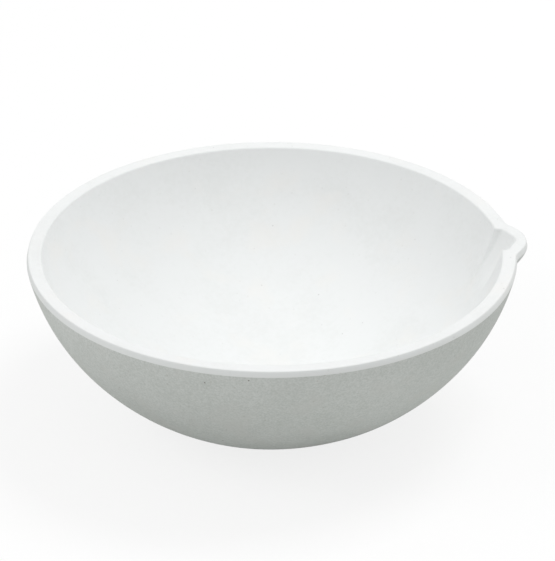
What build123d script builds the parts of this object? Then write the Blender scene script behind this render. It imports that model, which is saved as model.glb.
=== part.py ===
from build123d import *
from math import acos, atan2, cos, degrees, hypot, radians, sqrt, tan
import os

# A foundry crucible of the open dish kind: a round bowl cast in one piece in white silica ceramic, with a
# thin flat rim, a narrow bevel under the rim's outer edge, a small flat foot and one pouring lip.
# Millimetres. The bowl's axis is Z, its foot stands on Z = 0, and the lip points along +X.

# The bowl
MOUTH_RADIUS = 52.5  # outside, at the lower edge of the bevel, where the bowl is widest
HEIGHT = 38.0  # foot to rim
RIM_WALL = 2.85  # across the flat top of the rim
BEVEL_HEIGHT = 1.3
BEVEL_INSET = 0.3  # the rim's outer edge stands this far in from the bevel's lower edge
FLOOR_THICKNESS = 3.8  # on the axis
FOOT_RADIUS = 18.0

# The pouring lip: part of a ball outside, and inside it a groove that flattens as it runs down the wall
LIP_REACH = 2.8  # from the rim's outer edge to the lip's nose
LIP_WALL = 1.9  # between the groove's tip and the nose
LIP_FLANK = 3.6  # the lip's round outline is wider than the groove by this much each side
LIP_ROOT_RADIUS = 2.5  # the hollow between the lip and the bowl
GROOVE_WIDTH = 9.8
GROOVE_ANGLE = 29.0  # how far its two flanks lean back from straight across, at the rim
GROOVE_TIP_RADIUS = 1.4
GROOVE_SHOULDER_RADIUS = 1.8  # where the flanks turn into the sides
GROOVE_FALL = 10.8  # from the rim down to where it has flattened into the wall
FADE_WIDTH = 13.0  # the same outline at that depth, wide and nearly straight across
FADE_ANGLE = 3.0
FADE_TIP_RADIUS = 6.0
FADE_GAP = 0.15  # how far it stays clear of the wall there

RIM_RADIUS = MOUTH_RADIUS - BEVEL_INSET
INSIDE_RADIUS = RIM_RADIUS - RIM_WALL
CUT_OVER = 2.0  # how far a cutter runs past the rim


def ball_centre_z(low_radius, low_z, high_radius, high_z):
    """The centre's height of a ball on the axis that holds these two level circles."""
    return (high_radius**2 + high_z**2 - low_radius**2 - low_z**2) / (high_z - low_z) / 2


def turned(section, axis_x=0):
    """The section, drawn across and up, turned once round an upright axis. Its seam faces -X."""
    return Pos(axis_x, 0, 0) * Rot(0, 0, 180) * revolve(Plane.XZ * section, Axis.Z)


def bowl_outside():
    """Part of a ball from the foot's edge to the bevel, with the bevel and the rim above it."""
    bevel_z = HEIGHT - BEVEL_HEIGHT
    centre_z = ball_centre_z(FOOT_RADIUS, 0, MOUTH_RADIUS, bevel_z)
    foot_angle = degrees(atan2(FOOT_RADIUS, centre_z))
    mouth_angle = degrees(atan2(MOUTH_RADIUS, centre_z - bevel_z))
    wall = CenterArc(
        (0, centre_z), hypot(FOOT_RADIUS, centre_z), foot_angle - 90, mouth_angle - foot_angle
    )
    rest = Polyline(wall @ 1, (RIM_RADIUS, HEIGHT), (0, HEIGHT), (0, 0), wall @ 0)
    return turned(make_face([wall, *rest.edges()]))


def inside_ball():
    """The centre's height and the radius of the ball that hollows the bowl."""
    centre_z = ball_centre_z(0, FLOOR_THICKNESS, INSIDE_RADIUS, HEIGHT)
    return centre_z, centre_z - FLOOR_THICKNESS


def bowl_inside():
    """The ball that hollows the bowl, laid on its side to keep its poles and its seam clear of the bowl."""
    centre_z, radius = inside_ball()
    return Pos(0, 0, centre_z) * Rot(90, 0, 0) * Sphere(radius)


def inside_radius_at(z):
    """How far the bowl's inside wall is from the axis at this height."""
    centre_z, radius = inside_ball()
    return sqrt(radius**2 - (centre_z - z) ** 2)


def lip_ball():
    """The lower half of a ball centred in the plane of the rim, with the rim's bevel round its edge."""
    edge_radius = GROOVE_WIDTH / 2 + LIP_FLANK
    bevel_radius = edge_radius + BEVEL_INSET
    ball_radius = sqrt(bevel_radius**2 + BEVEL_HEIGHT**2)
    side = CenterArc((0, HEIGHT), ball_radius, -90, degrees(acos(BEVEL_HEIGHT / ball_radius)))
    rim = Polyline(side @ 1, (edge_radius, HEIGHT), (0, HEIGHT), side @ 0)
    section = make_face([side, *rim.edges()])
    return turned(section, RIM_RADIUS + LIP_REACH - edge_radius)


def groove_outline(z, tip_x, width, angle, tip_radius):
    """The groove seen from above: two straight sides, and two flanks that meet in a round tip."""
    lean = radians(angle)
    corner_x = tip_x + tip_radius * (1 / cos(lean) - 1)
    shoulder_x = corner_x - width / 2 * tan(lean)
    back_x = tip_x - MOUTH_RADIUS / 4
    half = [(back_x, width / 2), (shoulder_x, width / 2), (corner_x, 0)]
    face = make_face(Polyline(*half, *[(x, -y) for x, y in reversed(half[:2])], close=True))
    face = fillet(face.vertices().group_by(Axis.X)[-1], tip_radius)
    shoulders = [corner for corner in face.vertices() if abs(corner.X - shoulder_x) < width / 1000]
    face = fillet(shoulders, GROOVE_SHOULDER_RADIUS)
    return Pos(0, 0, z) * face


def groove():
    fade_z = HEIGHT - GROOVE_FALL
    tip_x = RIM_RADIUS + LIP_REACH - LIP_WALL
    fade_x = inside_radius_at(fade_z) - FADE_GAP
    at_rim = groove_outline(HEIGHT, tip_x, GROOVE_WIDTH, GROOVE_ANGLE, GROOVE_TIP_RADIUS)
    at_fade = groove_outline(fade_z, fade_x, FADE_WIDTH, FADE_ANGLE, FADE_TIP_RADIUS)
    return loft([at_rim, at_fade], ruled=True) + extrude(at_rim, CUT_OVER)


def with_lip_root_rounded(solid):
    """Rounds the hollow between the lip and the bowl: the edges that are neither level nor part of a seam."""
    spans = [(edge, edge.bounding_box().size) for edge in solid.edges()]
    root = [edge for edge, size in spans if min(size.Y, size.Z) > BEVEL_INSET / 10]
    return fillet(root, LIP_ROOT_RADIUS)


def crucible():
    outside = with_lip_root_rounded(bowl_outside() + lip_ball())
    return outside - bowl_inside() - groove()


os.makedirs("parts", exist_ok=True)
export_step(crucible(), "parts/crucible.step")
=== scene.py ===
# %% [markdown]
# # A foundry crucible of the open dish kind
#
# This crucible is a shallow white bowl of silica ceramic. A caster melts a little metal in it with a
# torch and pours it out over the small lip in the rim. It is pressed and fired in one piece, so here it
# is one piece too.
#
# Its solid model comes first and is fixed. It says how large the crucible is and where each part of it
# lies. This script dresses it: it makes a finer skin in the same place, with the soft edges and the
# faint unevenness of fired clay, and gives it a material, a floor, some light and a camera.

# %% Load the solid model as a fixed frame
import math

import bmesh
import bpy
from mathutils import Matrix, Vector, noise


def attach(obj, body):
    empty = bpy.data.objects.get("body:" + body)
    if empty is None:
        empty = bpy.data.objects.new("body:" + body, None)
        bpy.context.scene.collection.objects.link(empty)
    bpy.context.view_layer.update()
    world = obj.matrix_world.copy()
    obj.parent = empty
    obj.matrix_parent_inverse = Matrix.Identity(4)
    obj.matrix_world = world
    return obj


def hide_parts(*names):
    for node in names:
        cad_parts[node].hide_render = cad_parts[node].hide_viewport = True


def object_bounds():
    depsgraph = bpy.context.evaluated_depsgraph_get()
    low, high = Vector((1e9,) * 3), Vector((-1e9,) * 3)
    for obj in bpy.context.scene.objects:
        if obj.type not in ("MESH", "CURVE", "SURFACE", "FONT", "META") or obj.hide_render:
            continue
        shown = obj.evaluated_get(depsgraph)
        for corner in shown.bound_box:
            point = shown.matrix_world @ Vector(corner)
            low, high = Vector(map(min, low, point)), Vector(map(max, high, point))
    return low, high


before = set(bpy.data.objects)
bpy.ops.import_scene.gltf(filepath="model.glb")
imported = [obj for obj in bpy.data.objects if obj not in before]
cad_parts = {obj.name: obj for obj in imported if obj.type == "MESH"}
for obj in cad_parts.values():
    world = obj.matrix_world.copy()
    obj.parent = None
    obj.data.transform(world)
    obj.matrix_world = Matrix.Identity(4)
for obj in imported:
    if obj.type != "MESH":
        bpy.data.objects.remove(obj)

cad_low, cad_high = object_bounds()
print("nodes:", sorted(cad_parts), "box:", tuple(cad_low), tuple(cad_high))

# %% [markdown]
# ## The sizes
#
# Blender works in metres here, and a millimetre is the handier unit for a bowl that fits in a hand. The
# box of the solid model gives the height, the radius of the mouth and the nose of the lip. The sizes
# inside that box can't be read from it, so they are named here, as they are in the solid model.

# %% Name the bowl's sizes
MM = 0.001
HEIGHT = cad_high.z
MOUTH_RADIUS = -cad_low.x
LIP_NOSE = cad_high.x
FLOOR_THICKNESS = 3.8 * MM
RIM_WALL = 2.85 * MM
BEVEL_HEIGHT = 1.3 * MM
BEVEL_INSET = 0.3 * MM

BEVEL_Z = HEIGHT - BEVEL_HEIGHT
RIM_RADIUS = MOUTH_RADIUS - BEVEL_INSET
INSIDE_RADIUS = RIM_RADIUS - RIM_WALL
print(f"mouth {MOUTH_RADIUS / MM:.1f} mm, height {HEIGHT / MM:.1f} mm, lip out to {LIP_NOSE / MM:.1f} mm")

# %% [markdown]
# ## The two ovals
#
# The solid model's walls are parts of plain balls. The real wall is a little fuller at its shoulder and
# flatter underneath, as if the ball had been pressed down, so here each wall is part of an upright oval.
# An oval is settled by half its height and two level circles that it holds. Outside those are its widest
# circle and the mouth, and inside the rim and the middle of the floor, which is a circle of no radius.
# The inside oval is the shallower one, so the wall is thin at the rim and thick near the foot.

# %% Name the two ovals
OUTSIDE_HALF_DEPTH = 49.1 * MM
OUTSIDE_HALF_WIDTH = 53.75 * MM
INSIDE_HALF_DEPTH = 44.7 * MM


def level_radius(oval, z):
    """How wide the oval is at this height, and 0 under its lowest point."""
    centre_z, half_width, half_depth = oval
    return half_width * math.sqrt(max(1 - ((centre_z - z) / half_depth) ** 2, 0))


mouth_drop = OUTSIDE_HALF_DEPTH * math.sqrt(1 - (MOUTH_RADIUS / OUTSIDE_HALF_WIDTH) ** 2)
OUTSIDE = (BEVEL_Z + mouth_drop, OUTSIDE_HALF_WIDTH, OUTSIDE_HALF_DEPTH)
inside_z = FLOOR_THICKNESS + INSIDE_HALF_DEPTH
inside_half_width = INSIDE_RADIUS / math.sqrt(1 - ((inside_z - HEIGHT) / INSIDE_HALF_DEPTH) ** 2)
INSIDE = (inside_z, inside_half_width, INSIDE_HALF_DEPTH)
FOOT_RADIUS = level_radius(OUTSIDE, 0)
print("outside", OUTSIDE, "inside", INSIDE, f"foot {FOOT_RADIUS / MM:.1f} mm")

# %% [markdown]
# ## Half of the cross-section
#
# A round bowl is one line turned about its axis, as on a potter's wheel. The line runs from under the
# middle of the foot, up the outside, over the rim and down the inside to the middle of the floor. To
# draw an oval's arc, the spin operator turns one vertex about the oval's centre, and the trail that it
# leaves is part of a circle. Scaling the trail in height makes it part of the oval. The rows are closer
# together near the rim, because the lip will need them there.

# %% Draw the line that the bowl is turned from
ROW = 1.5 * MM
FINE_ROW = 0.35 * MM
FINE_FROM_Z = 24.0 * MM
RIM_CELLS = 4


def arc_to(mesh, start, oval, end_z, row):
    """Draws the oval's line from a vertex on it to this height, and returns the last vertex."""
    centre_z, half_width, half_depth = oval
    centre, squash = Vector((0, 0, centre_z)), half_depth / half_width
    before = start.co - centre
    before.z /= squash
    start.co = centre + before
    after = Vector((level_radius(oval, end_z), 0, (end_z - centre_z) / squash))
    angle = math.copysign(before.angle(after), after.x * before.z - before.x * after.z)
    steps = round(abs(angle) * half_width / row)
    drawn = len(mesh.verts)
    trail = bmesh.ops.spin(mesh, geom=[start], cent=centre, axis=(0, 1, 0), angle=angle, steps=steps)
    on_arc = [start] + mesh.verts[:][drawn:]
    bmesh.ops.scale(mesh, verts=on_arc, vec=(1, 1, squash), space=Matrix.Translation(-centre))
    return next(part for part in trail["geom_last"] if isinstance(part, bmesh.types.BMVert))


def line_to(mesh, start, radius, z):
    """Draws one straight edge and returns the vertex at its end."""
    end = mesh.verts.new((radius, 0, z))
    mesh.edges.new((start, end))
    return end


bowl = bmesh.new()
under_foot = bowl.verts.new((0, 0, 0))
foot_edge = line_to(bowl, under_foot, FOOT_RADIUS, 0)
haunch = arc_to(bowl, foot_edge, OUTSIDE, FINE_FROM_Z, ROW)
bevel_edge = arc_to(bowl, haunch, OUTSIDE, BEVEL_Z, FINE_ROW)
rim_outer = line_to(bowl, bevel_edge, RIM_RADIUS, HEIGHT)
rim_inner = rim_outer
for cell in range(1, RIM_CELLS + 1):
    rim_inner = line_to(bowl, rim_inner, RIM_RADIUS - RIM_WALL * cell / RIM_CELLS, HEIGHT)
inner_haunch = arc_to(bowl, rim_inner, INSIDE, FINE_FROM_Z, FINE_ROW)
floor_middle = arc_to(bowl, inner_haunch, INSIDE, FLOOR_THICKNESS, ROW)
print("the line has", len(bowl.verts), "vertices and ends at", tuple(floor_middle.co))

# %% [markdown]
# ## Soft edges
#
# Pressed clay has no sharp edges, and a render shows it: a rounded edge catches a thin line of light.
# The bevel operator rounds corners. It is easiest on the line, before it is turned, because there each
# edge of the bowl is still one vertex. The edge under the rim's bevel is the crispest, since a tool cut
# it, and the foot's edge is the softest.

# %% Round the four corners of the line
FOOT_ROUNDING = 1.2 * MM
BEVEL_ROUNDING = 0.15 * MM
OUTER_ROUNDING = 0.25 * MM
INNER_ROUNDING = 0.3 * MM

corners = (foot_edge, bevel_edge, rim_outer, rim_inner)
for corner, rounding in zip(corners, (FOOT_ROUNDING, BEVEL_ROUNDING, OUTER_ROUNDING, INNER_ROUNDING)):
    bmesh.ops.bevel(
        bowl, geom=[corner], offset=rounding, offset_type="OFFSET",
        segments=4, profile=0.5, affect="VERTICES", material=-1, clamp_overlap=False,
    )
print("with its corners rounded the line has", len(bowl.verts), "vertices")

# %% [markdown]
# ## Turning the bowl
#
# One full spin would give every column the same width. The lip is small and has steep sides, so the
# columns have to be narrow there, and they can be wide elsewhere. The spin is therefore made in
# stretches. Each one starts from the column where the one before it stopped, and the last ends on the
# first, where the doubled vertices are merged. That merge also closes the two poles on the axis.

# %% Spin the line in stretches, finest beside the lip
LIP_SPAN = 16.0  # degrees each side of the lip
BESIDE_LIP = ((6.0, 0.25), (6.0, 0.1), (8.0, 0.2), (6.0, 0.1), (6.0, 0.25))  # sweep and step, in degrees
STRETCHES = (*BESIDE_LIP, (360.0 - 2 * LIP_SPAN, 2.0))
MERGE_DISTANCE = 0.002 * MM

column = bowl.verts[:] + bowl.edges[:]
first_place = Matrix.Rotation(math.radians(-LIP_SPAN), 3, "Z")
bmesh.ops.rotate(bowl, verts=bowl.verts, cent=(0, 0, 0), matrix=first_place)
for sweep, step in STRETCHES:
    angle, steps = math.radians(sweep), round(sweep / step)
    turned = bmesh.ops.spin(bowl, geom=column, cent=(0, 0, 0), axis=(0, 0, 1), angle=angle, steps=steps)
    column = turned["geom_last"]
bmesh.ops.remove_doubles(bowl, verts=bowl.verts, dist=MERGE_DISTANCE)
bmesh.ops.recalc_face_normals(bowl, faces=bowl.faces)
open_edges = sum(1 for edge in bowl.edges if not edge.is_manifold)
print("turned:", len(bowl.faces), "faces,", open_edges, "open edges")

# %% [markdown]
# ## The pouring lip
#
# From outside, the lip is the lower half of a small ball set in the rim, a little shallower than it is
# wide. It could be joined on with a boolean, but that leaves a hard seam. Pressed clay flows round such
# a corner, so here the bowl's own skin is pushed out instead. For each vertex the script asks how far
# from the axis the small ball reaches in that direction and at that height, and takes the larger of that
# and the bowl. The larger of the two is taken smoothly: near the place where they are equal, a little is
# added, and that fills the root of the lip with a soft hollow.

# %% Say how far the lip reaches in each direction
LIP_RING = 8.5 * MM  # the lip's radius, seen from above
LIP_SQUASH = 1.35  # how much wider the ball is than it is deep
LIP_BALL = math.hypot(LIP_RING + BEVEL_INSET, BEVEL_HEIGHT * LIP_SQUASH)
LIP_CENTRE = LIP_NOSE - BEVEL_INSET - LIP_RING


def smooth_max(a, b, blend):
    """The larger of the two, with the step between them rounded off where they are nearly equal."""
    nearness = max(blend - abs(a - b), 0) / blend
    return max(a, b) + nearness**2 * blend / 4


def lip_radius(angle, z, grow):
    """From the axis to the lip's outside. The lip is drawn larger all round by grow."""
    depth = HEIGHT - z
    ring = math.sqrt(max(LIP_BALL**2 - (depth * LIP_SQUASH) ** 2, 0))
    if depth < BEVEL_HEIGHT:
        ring = LIP_RING + BEVEL_INSET * depth / BEVEL_HEIGHT
    ring += grow
    aside = LIP_CENTRE * math.sin(angle)
    if abs(aside) >= ring:
        return 0
    return LIP_CENTRE * math.cos(angle) + math.sqrt(ring**2 - aside**2)


def wall_outside(z):
    """From the axis to the outside of the bowl, without its rounded edges."""
    if z > BEVEL_Z:
        return MOUTH_RADIUS - BEVEL_INSET * (z - BEVEL_Z) / BEVEL_HEIGHT
    return level_radius(OUTSIDE, z)


print("lip stands out by", (lip_radius(0, HEIGHT, 0) - RIM_RADIUS) / MM, "mm at the rim")

# %% [markdown]
# ## The groove in the lip
#
# Inside the lip a groove leads the metal to one point, so that it leaves in a thin stream. At the rim it
# is a wide V with a rounded tip and two short, steep sides. Further down it gets shallower, until it has
# sunk below the wall's own curve and nothing of it is left. Its sizes are given at the rim and at that
# lower level, and a height between them takes its share of both. Seen from above, a flank and a side are
# both straight lines, and whichever is nearer the axis is the groove's wall.

# %% Say how far the groove reaches in each direction
GROOVE_FALL = 11.6 * MM
TIP_DEPTH = (4.3 * MM, -0.05 * MM)  # from the bowl's wall out to where the flanks would meet
SHOULDER_DEPTH = (1.25 * MM, -0.25 * MM)  # out to where the flanks turn into the sides
GROOVE_HALF_WIDTH = (4.75 * MM, 3.9 * MM)  # at the shoulders
GROOVE_TIP_ROUNDING = 1.2 * MM
SIDE_SLOPE = 7.0
SHOULDER_BLEND = 1.4 * MM


def between(pair, share):
    """The value this share of the way from the first of the pair to the second."""
    return pair[0] + (pair[1] - pair[0]) * share


def groove_radius(angle, z, grow):
    """From the axis to the groove's wall. The groove is drawn larger all round by grow."""
    wall, share = level_radius(INSIDE, z), (HEIGHT - z) / GROOVE_FALL
    half_width = between(GROOVE_HALF_WIDTH, share)
    tip, shoulder = wall + between(TIP_DEPTH, share), wall + between(SHOULDER_DEPTH, share)
    along, across = math.cos(angle), abs(math.sin(angle))
    lean = (tip - shoulder) / half_width
    tip += grow * math.hypot(1, lean)
    # A flank is along * r + lean * sqrt((across * r)**2 + rounding**2) = tip, which is solved here for r.
    steepness = along**2 - (lean * across) ** 2
    product = steepness * (tip**2 - (lean * GROOVE_TIP_ROUNDING) ** 2)
    flank = (tip * along - math.sqrt((tip * along) ** 2 - product)) / steepness
    side_foot = shoulder + half_width * SIDE_SLOPE + grow * math.hypot(1, SIDE_SLOPE)
    side = side_foot / (along + across * SIDE_SLOPE)
    return -smooth_max(-flank, -side, SHOULDER_BLEND)


print("groove's tip at the rim:", groove_radius(0, HEIGHT, 0) / MM, "mm from the axis")

# %% [markdown]
# ## Marking the outer skin
#
# The inside, the rim and its bevel were smoothed with a wet sponge before firing, and they are white.
# The rest of the outside was left as it came out of the mould and is sandier. It is also a shade greyer,
# partly the clay's own tone and partly painted shade for the outside, which leans away from the light.
# The material has to know which is which, so each vertex gets a number, 1 on the outer skin and 0
# elsewhere, while the bowl is still plainly round and it is easy to tell the two walls apart. Where the
# lip is pushed out, a vertex later loses part of its number again, the more the further it moves. That
# paints the lip's outside lighter and smoother: painted light on its underside.

# %% Give each vertex its share of the outer skin
def is_outside(radius, z):
    """Whether a place belongs to the outer half of the wall."""
    return radius > (level_radius(INSIDE, z) + wall_outside(z)) / 2


# This number also carries painted shade: where it is 1 the colour is greyer, partly for the outside's
# shade.
sandy_shaded_skin = bowl.verts.layers.float.new("sandy_shaded_skin")
for vertex in bowl.verts:
    radius, z = math.hypot(vertex.co.x, vertex.co.y), vertex.co.z
    under_floor = z < FLOOR_THICKNESS / 2
    if under_floor or (z < BEVEL_Z and is_outside(radius, z)):
        vertex[sandy_shaded_skin] = 1
print(sum(1 for vertex in bowl.verts if vertex[sandy_shaded_skin]), "vertices are on the outer skin")

# %% [markdown]
# ## Pushing the skin out
#
# Now both are applied. A vertex belongs to the outside or the inside of the wall, whichever is nearer,
# and keeps its own share of a rounded edge, which is how far it lies from the plain wall. The vertices
# on the flat rim are spread evenly between the two edges, wherever those have gone.

# %% Shape the lip and its groove
ROOT_BLEND = 1.6 * MM
# Over this distance the pushed-out lip loses the outer skin's grey: painted light on the lip's underside.
LIP_PAINTED_LIGHT_REACH = 2.2 * MM
GROOVE_EDGE_BLEND = 0.9 * MM
SHAPED_FROM_Z = FINE_FROM_Z - 1 * MM
RIM_TOP_FROM_Z = HEIGHT - 0.01 * MM


def new_outside(angle, z, grow):
    return smooth_max(wall_outside(z) + grow, lip_radius(angle, z, grow), ROOT_BLEND)


def new_inside(angle, z, grow):
    return smooth_max(level_radius(INSIDE, z) + grow, groove_radius(angle, z, grow), GROOVE_EDGE_BLEND)


def new_radius(radius, angle, z):
    """Where a vertex of the plain bowl goes, measured from the axis."""
    ring_inner, ring_outer = INSIDE_RADIUS + INNER_ROUNDING, RIM_RADIUS - OUTER_ROUNDING
    if ring_inner < radius < ring_outer and z > RIM_TOP_FROM_Z:
        share = (radius - ring_inner) / (ring_outer - ring_inner)
        edges = new_inside(angle, HEIGHT, INNER_ROUNDING), new_outside(angle, HEIGHT, -OUTER_ROUNDING)
        return between(edges, share)
    if is_outside(radius, z):
        return new_outside(angle, z, radius - wall_outside(z))
    return new_inside(angle, z, radius - level_radius(INSIDE, z))


moved = 0
for vertex in bowl.verts:
    radius, angle = math.hypot(vertex.co.x, vertex.co.y), math.atan2(vertex.co.y, vertex.co.x)
    if abs(angle) < math.radians(LIP_SPAN) and vertex.co.z > SHAPED_FROM_Z:
        stretch = new_radius(radius, angle, vertex.co.z) / radius
        moved += stretch > 1.0001
        # Painted light: the further a vertex is pushed out, the less of the skin's grey and grain it
        # keeps, so the lip's outside shows lighter.
        vertex[sandy_shaded_skin] *= max(1 - (stretch - 1) * radius / LIP_PAINTED_LIGHT_REACH, 0)
        vertex.co.x *= stretch
        vertex.co.y *= stretch
print("pushed out", moved, "vertices")

# %% [markdown]
# ## Unevenness
#
# A pressed and fired bowl is never quite true. Its rim dips by a twentieth of a millimetre here and
# there, and its walls have broad, very shallow swells. Nobody sees them as such, but they make the light
# on the wall less perfect. A noise field moves each vertex along its own normal. It fades out towards
# the foot, which stays flat because it was ground.

# %% Let the wall swell a little
SWELL = 0.05 * MM
SWELL_WIDTH = 17.0 * MM
GROUND_HEIGHT = 4.0 * MM

bowl.normal_update()
for vertex in bowl.verts:
    fade = min(vertex.co.z / GROUND_HEIGHT, 1)
    vertex.co += vertex.normal * noise.noise(vertex.co / SWELL_WIDTH) * SWELL * fade
bowl.normal_update()
low = [min(vertex.co[axis] for vertex in bowl.verts) / MM for axis in range(3)]
high = [max(vertex.co[axis] for vertex in bowl.verts) / MM for axis in range(3)]
print("low corner", [round(value, 2) for value in low], "high corner", [round(value, 2) for value in high])

# %% [markdown]
# ## The finished piece
#
# The bmesh becomes an object at the origin, unturned, with its place in its mesh. It stands for the
# solid of the same bowl, which stays in the model for collision and is hidden here.

# %% Make the object
mesh = bpy.data.meshes.new("melting_dish")
bowl.to_mesh(mesh)
bowl.free()
mesh.shade_smooth()
dish = bpy.data.objects.new("melting_dish", mesh)
bpy.context.scene.collection.objects.link(dish)
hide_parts("crucible")
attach(dish, "root")
print("melting_dish:", len(mesh.polygons), "faces")

# %% [markdown]
# ## Writing materials as sums
#
# A material is a graph of nodes, and a long one is hard to read as a list of links. This class wraps an
# output of a node, so that mask * 0.3 or 1 - mask adds the Math node for it. Every other node comes from
# the method node, which takes the node's kind, its settings and what goes into its sockets.

# %% Define the shader helper
class Wire:
    """An output of a node, to be used in sums and as the input of other nodes."""

    def __init__(self, finish, socket):
        self.finish = finish
        self.socket = socket

    def sum(self, operation, first, second):
        return self.finish.node("Math", {"operation": operation}, {0: first, 1: second})

    def __add__(self, other):
        return self.sum("ADD", self, other)

    def __radd__(self, other):
        return self.sum("ADD", other, self)

    def __sub__(self, other):
        return self.sum("SUBTRACT", self, other)

    def __rsub__(self, other):
        return self.sum("SUBTRACT", other, self)

    def __mul__(self, other):
        return self.sum("MULTIPLY", self, other)

    def __rmul__(self, other):
        return self.sum("MULTIPLY", other, self)


class Finish:
    """The nodes of one material, or of the world."""

    def __init__(self, owner):
        owner.use_nodes = True
        self.owner = owner
        self.tree = owner.node_tree
        self.tree.nodes.clear()

    def node(self, kind, settings, sockets, output=0):
        """Adds a node, sets it up, fills its sockets, and returns one of its outputs."""
        made = self.tree.nodes.new("ShaderNode" + kind)
        for name, setting in settings.items():
            setattr(made, name, setting)
        for name, value in sockets.items():
            if isinstance(value, Wire):
                self.tree.links.new(value.socket, made.inputs[name])
            else:
                made.inputs[name].default_value = value
        return Wire(self, made.outputs[output])

    def end(self, kind, surface):
        """Adds the output node and sends the result to it."""
        made = self.tree.nodes.new("ShaderNode" + kind)
        self.tree.links.new(surface.socket, made.inputs["Surface"])

    def mix(self, factor, first, second):
        """A colour between two others."""
        return self.node("Mix", {"data_type": "RGBA"}, {0: factor, 6: first, 7: second}, output=2)

    def ramp(self, value, low, high):
        """0 where the value is at or under low, 1 at or over high, and smooth between."""
        sockets = {"Value": value, "From Min": low, "From Max": high}
        return self.node("MapRange", {"interpolation_type": "SMOOTHSTEP"}, sockets)

    def noise(self, where, size, detail=2.0, roughness=0.5):
        """A soft random pattern around 0.5, with lumps of this size."""
        sockets = {"Vector": where, "Scale": 1 / size, "Detail": detail, "Roughness": roughness}
        return self.node("TexNoise", {}, sockets)


# %% [markdown]
# ## Silica ceramic
#
# Fused silica clay fires to a dull, slightly cool white. Close up it isn't one colour: it is cloudy over
# a centimetre or two, and finely mottled where coarse and fine grains lie side by side. The outer skin's
# grains show more, and it is a shade greyer, partly its own tone and partly painted shade for the
# outside, which leans away from the light. The mottling is written once and is used twice, faintly
# inside and strongly outside. The Attribute node reads the number that each vertex was given.

# %% Mix the colour
WHITE = (0.866, 0.880, 0.878, 1)
GREYER = (0.838, 0.852, 0.846, 1)
CREAM = (0.880, 0.878, 0.860, 1)
# The outer skin's three colours are greyer than the white partly as painted shade for the outside that
# leans away from the light.
SHADED_SKIN_PALE = (0.745, 0.759, 0.743, 1)
SHADED_SKIN_DARK = (0.605, 0.627, 0.601, 1)
SHADED_SKIN_WARM = (0.685, 0.688, 0.665, 1)
CLOUD_SIZE = 14 * MM
WARM_PATCH_SIZE = 9 * MM
MOTTLING_SIZE = 1.1 * MM
GRAIN_SIZE = 0.45 * MM

ceramic = Finish(bpy.data.materials.new("silica_ceramic"))
place = ceramic.node("TexCoord", {}, {}, output="Object")
grain_and_shade_share = ceramic.node("Attribute", {"attribute_name": "sandy_shaded_skin"}, {}, output="Fac")
clouds = ceramic.noise(place, CLOUD_SIZE, detail=3.0)
warmth = ceramic.noise(place, WARM_PATCH_SIZE, detail=2.0)
mottling = ceramic.noise(place, MOTTLING_SIZE, detail=3.0, roughness=0.6)
grain = ceramic.noise(place, GRAIN_SIZE, detail=2.0, roughness=0.6)

smooth_tone = ceramic.mix(ceramic.ramp(clouds * 0.6 + mottling * 0.4, 0.44, 0.68), WHITE, GREYER)
smooth_tone = ceramic.mix(ceramic.ramp(warmth, 0.52, 0.75) * 0.6, smooth_tone, CREAM)
sandy = clouds * 0.2 + mottling * 0.25 + grain * 0.55
shaded_skin_tone = ceramic.mix(ceramic.ramp(sandy, 0.32, 0.68), SHADED_SKIN_PALE, SHADED_SKIN_DARK)
shaded_skin_tone = ceramic.mix(ceramic.ramp(warmth, 0.5, 0.7) * 0.5, shaded_skin_tone, SHADED_SKIN_WARM)
# The outer skin takes its greyer tone here, which is partly painted shade.
tone = ceramic.mix(grain_and_shade_share, smooth_tone, shaded_skin_tone)
print("ceramic:", len(ceramic.tree.nodes), "nodes so far")

# %% [markdown]
# Here and there a speck of iron from the clay has burnt in dark. Specks come from a Voronoi pattern:
# space is filled with cells, each with a point somewhere in it, and the pattern gives the distance to
# the nearest point. A speck is where that distance is very small. The cell's random colour decides which
# cells count, here half of them, and the bowl's surface cuts through few of those specks. Two sizes are
# laid over each other, a few dark ones and more of the faint ones.

# %% Add specks
IRON = (0.17, 0.155, 0.135, 1)
FAINT = (0.50, 0.49, 0.45, 1)


def dots(cell, radius, share):
    """1 in small dots, as many as this share of the cells, and 0 elsewhere."""
    sockets = {"Vector": place, "Scale": 1 / cell}
    distance = ceramic.node("TexVoronoi", {}, sockets)
    colour = ceramic.node("TexVoronoi", {}, sockets, output="Color")
    chance = ceramic.node("SeparateColor", {}, {"Color": colour})
    dot = 1 - ceramic.ramp(distance, radius * 0.5 / cell, radius / cell)
    return dot * (1 - ceramic.ramp(chance, share, share + 0.01))


dark_specks = dots(4.1 * MM, 0.24 * MM, 0.5)
faint_specks = dots(2.3 * MM, 0.3 * MM, 0.5)
tone = ceramic.mix(faint_specks * (0.1 + grain_and_shade_share * 0.3), tone, FAINT)
tone = ceramic.mix(dark_specks * (0.2 + grain_and_shade_share * 0.6), tone, IRON)
print("ceramic:", len(ceramic.tree.nodes), "nodes so far")

# %% [markdown]
# The surface feels like an eggshell inside and like fine sandpaper outside. A Bump node turns a height
# into that feel without any more faces: it leans the light's angle as real grains would. Pinholes, where
# gas escaped in the kiln, are dots of the same kind as the specks, but they go down instead of dark.

# %% Give it a grain and finish it
pits = dots(1.9 * MM, 0.22 * MM, 0.5)
height = (grain * 0.6 + mottling * 0.4) * (0.4 + grain_and_shade_share * 0.6) - pits * 0.45
bump = ceramic.node("Bump", {}, {"Strength": 0.5, "Distance": 0.07 * MM, "Height": height})
roughness = 0.60 + mottling * 0.12 + grain_and_shade_share * 0.14
sockets = {"Base Color": tone, "Roughness": roughness, "Normal": bump, "Specular IOR Level": 0.4}
surface = ceramic.node("BsdfPrincipled", {}, sockets)
ceramic.end("OutputMaterial", surface)
mesh.materials.append(ceramic.owner)
print("ceramic:", len(ceramic.tree.nodes), "nodes")

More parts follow.
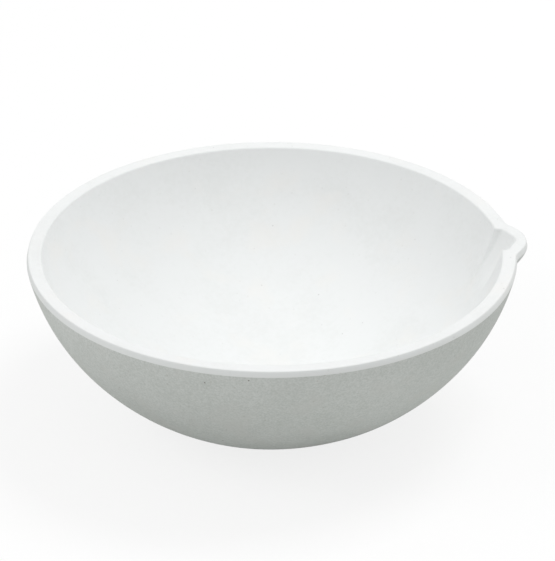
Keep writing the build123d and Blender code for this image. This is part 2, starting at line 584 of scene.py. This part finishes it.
# %% [markdown]
# ## The floor
#
# The crucible stands on a white table. A truly white table would throw so much light up that the bowl's
# underside would lose its shade, so every ray that carries light on meets a grey floor. The camera, and
# rays that a shiny surface sends out, meet a white one. Most of what they meet is a glow, so that it is
# evenly white, and the rest is plain white paint, which takes the bowl's shadow. The Light Path node
# tells the rays apart.

# %% Lay the floor
FLOOR_SIZE = 6.0
FLOOR_WHITE = (0.985, 0.985, 0.985, 1)
FLOOR_GREY = (0.63, 0.65, 0.63, 1)
FLOOR_GLOW = 0.82

ground = bmesh.new()
bmesh.ops.create_grid(ground, x_segments=1, y_segments=1, size=FLOOR_SIZE / 2)
ground_mesh = bpy.data.meshes.new("table_top")
ground.to_mesh(ground_mesh)
ground.free()
table_top = bpy.data.objects.new("table_top", ground_mesh)
bpy.context.scene.collection.objects.link(table_top)


def seen_directly(finish):
    """1 for rays from the camera, or sent on by a shiny or clear surface, and 0 for the rest."""
    camera_ray = finish.node("LightPath", {}, {}, output="Is Camera Ray")
    glossy_ray = finish.node("LightPath", {}, {}, output="Is Glossy Ray")
    clear_ray = finish.node("LightPath", {}, {}, output="Is Transmission Ray")
    return finish.node("Clamp", {}, {"Value": camera_ray + glossy_ray + clear_ray})


paper = Finish(bpy.data.materials.new("table_white"))
seen = seen_directly(paper)
paint = paper.node("BsdfDiffuse", {}, {"Color": paper.mix(seen, FLOOR_GREY, FLOOR_WHITE)})
glow = paper.node("Emission", {}, {"Color": (1, 1, 1, 1)})
paper.end("OutputMaterial", paper.node("MixShader", {}, {0: seen * FLOOR_GLOW, 1: paint, 2: glow}))
ground_mesh.materials.append(paper.owner)
print("floor", FLOOR_SIZE, "m wide")

# %% [markdown]
# ## Light
#
# White ceramic is shaped by light alone, so the light is what makes the picture. It comes mostly from a
# wide soft box, high over the side of the lip and a little behind the bowl. That leaves the rim bright,
# the bowl's inside glowing with light passed from wall to wall, and the outside, which leans away from
# it, in grey. The groove's far side turns its back on the box and shows as a darker stripe. A weaker
# panel at the left lifts the outside where it turns away, and the room adds a little from everywhere.

# %% Set up the lamps and the room
AIM = Vector((0, 0, HEIGHT / 2))


def direction_to(azimuth, elevation):
    """The way from the bowl to something round it. Azimuth 0 is in front, at -Y, and 90 is at +X."""
    turn, lift = math.radians(azimuth), math.radians(elevation)
    return Vector((math.sin(turn) * math.cos(lift), -math.cos(turn) * math.cos(lift), math.sin(lift)))


def soft_box(name, azimuth, elevation, distance, size, power):
    """A square lamp that looks at the bowl."""
    direction = direction_to(azimuth, elevation)
    lamp = bpy.data.lights.new(name, "AREA")
    lamp.size = size
    lamp.energy = power
    holder = bpy.data.objects.new(name, lamp)
    holder.location = AIM + direction * distance
    holder.rotation_euler = direction.to_track_quat("Z", "Y").to_euler()
    bpy.context.scene.collection.objects.link(holder)


soft_box("overhead_box", azimuth=112, elevation=67, distance=1.2, size=0.5, power=5.5)
soft_box("left_panel", azimuth=-80, elevation=40, distance=1.2, size=0.5, power=2.3)

ROOM_LIGHT = 0.60
room = Finish(bpy.data.worlds.new("room"))
bpy.context.scene.world = room.owner
sky = room.mix(seen_directly(room), (ROOM_LIGHT, ROOM_LIGHT, ROOM_LIGHT, 1), (1, 1, 1, 1))
room.end("OutputWorld", room.node("Background", {}, {"Color": sky}))
print("lamps:", [lamp.name for lamp in bpy.data.lights])

# %% [markdown]
# ## The camera
#
# The view is from above the rim, with the lip on the right, so that both the inside and the outside
# show. A long lens from a metre off bends the rim's ellipse very little. The lens looks at the middle of
# the rim, and a small shift of the sensor puts that point a little above and left of the picture's
# middle.

# %% Place the camera
CAMERA_AZIMUTH = -6.65
CAMERA_ELEVATION = 28.08
CAMERA_DISTANCE = 1.044
LENS = 312.9
SHIFT_RIGHT = 0.0100
SHIFT_UP = -0.0516

towards_camera = direction_to(CAMERA_AZIMUTH, CAMERA_ELEVATION)
lens = bpy.data.cameras.new("main_camera")
lens.lens = LENS
lens.shift_x = SHIFT_RIGHT
lens.shift_y = SHIFT_UP
lens.clip_start = 0.01
camera = bpy.data.objects.new("main_camera", lens)
camera.location = Vector((0, 0, HEIGHT)) + towards_camera * CAMERA_DISTANCE
camera.rotation_euler = towards_camera.to_track_quat("Z", "Y").to_euler()
bpy.context.scene.collection.objects.link(camera)
bpy.context.scene.camera = camera
bpy.context.scene.view_settings.view_transform = "Standard"
print("camera at", tuple(round(value, 3) for value in camera.location))

# %% [markdown]
# ## Finish
#
# The dressed model has to be as large as the solid one. The last step brings the view layer up to date.

# %% Update the view layer
bpy.context.view_layer.update()
